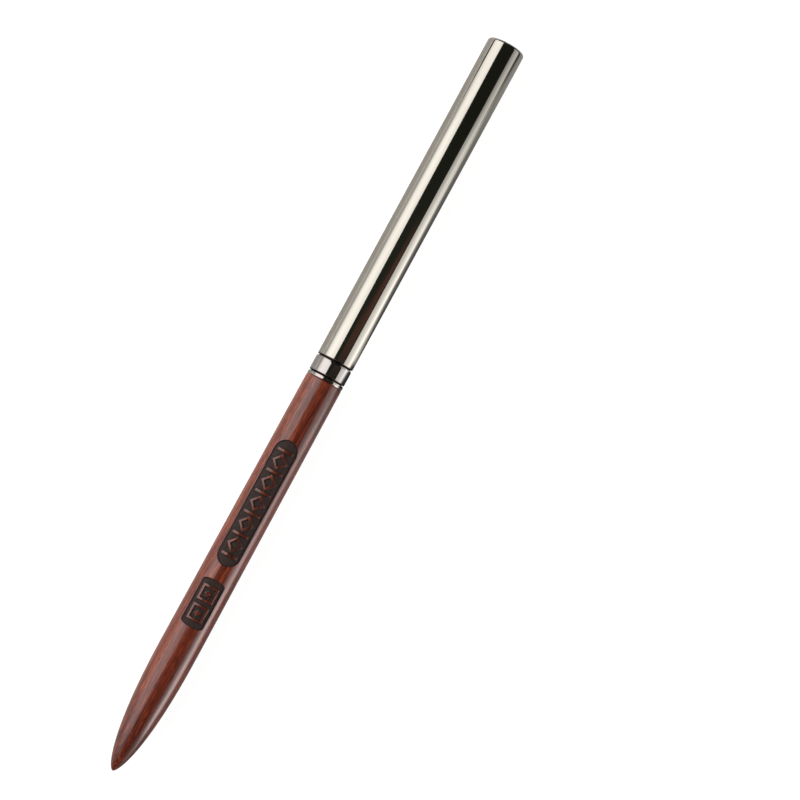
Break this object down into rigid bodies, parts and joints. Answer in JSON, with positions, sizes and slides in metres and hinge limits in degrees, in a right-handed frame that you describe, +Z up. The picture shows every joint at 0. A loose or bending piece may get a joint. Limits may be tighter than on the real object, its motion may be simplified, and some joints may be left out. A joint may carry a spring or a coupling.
{
  "type": "acrylic nail brush",
  "caption": "Flat artist's brush for acrylic nails, with a turned wooden handle, a crimped metal ferrule and a metal cap that pulls off.",
  "frame": {"origin": "middle of the closed brush's length and width, on the surface it lies on", "axes": "+X from the pointed tail towards the closed end of the cap, +Z up through the engraved panels"},
  "size_m": [0.1702, 0.0084, 0.0083],
  "materials": {
    "lacquered_rosewood": "dark red rosewood under clear gloss lacquer",
    "collar_nickel": "mirror polished nickel plate",
    "ferrule_nickel": "mirror polished nickel plate",
    "cap_nickel": "mirror polished, faintly warm nickel plate",
    "turned_brass": "turned brass",
    "pin_steel": "turned steel",
    "amber_resin": "set amber resin",
    "waxed_thread": "waxed binding thread",
    "dark_hair": "fine dark hair with reddish tips"
  },
  "bodies": {
    "brush": {"handle": "lacquered_rosewood", "tang_pin": "pin_steel", "socket_bush": "turned_brass", "bead_ring": "collar_nickel", "collar_band": "collar_nickel", "cap_seat_sleeve": "collar_nickel", "ferrule": "ferrule_nickel", "resin_plug": "amber_resin", "hair_binding": "waxed_thread", "bristle_tuft": "dark_hair"},
    "cap": {"cap": "cap_nickel"}
  },
  "joints": [
    {"name": "cap_pull", "type": "slide", "parent": "brush", "child": "cap", "axis": [1, 0, 0], "range_m": [0, 0.05]}
  ]
}
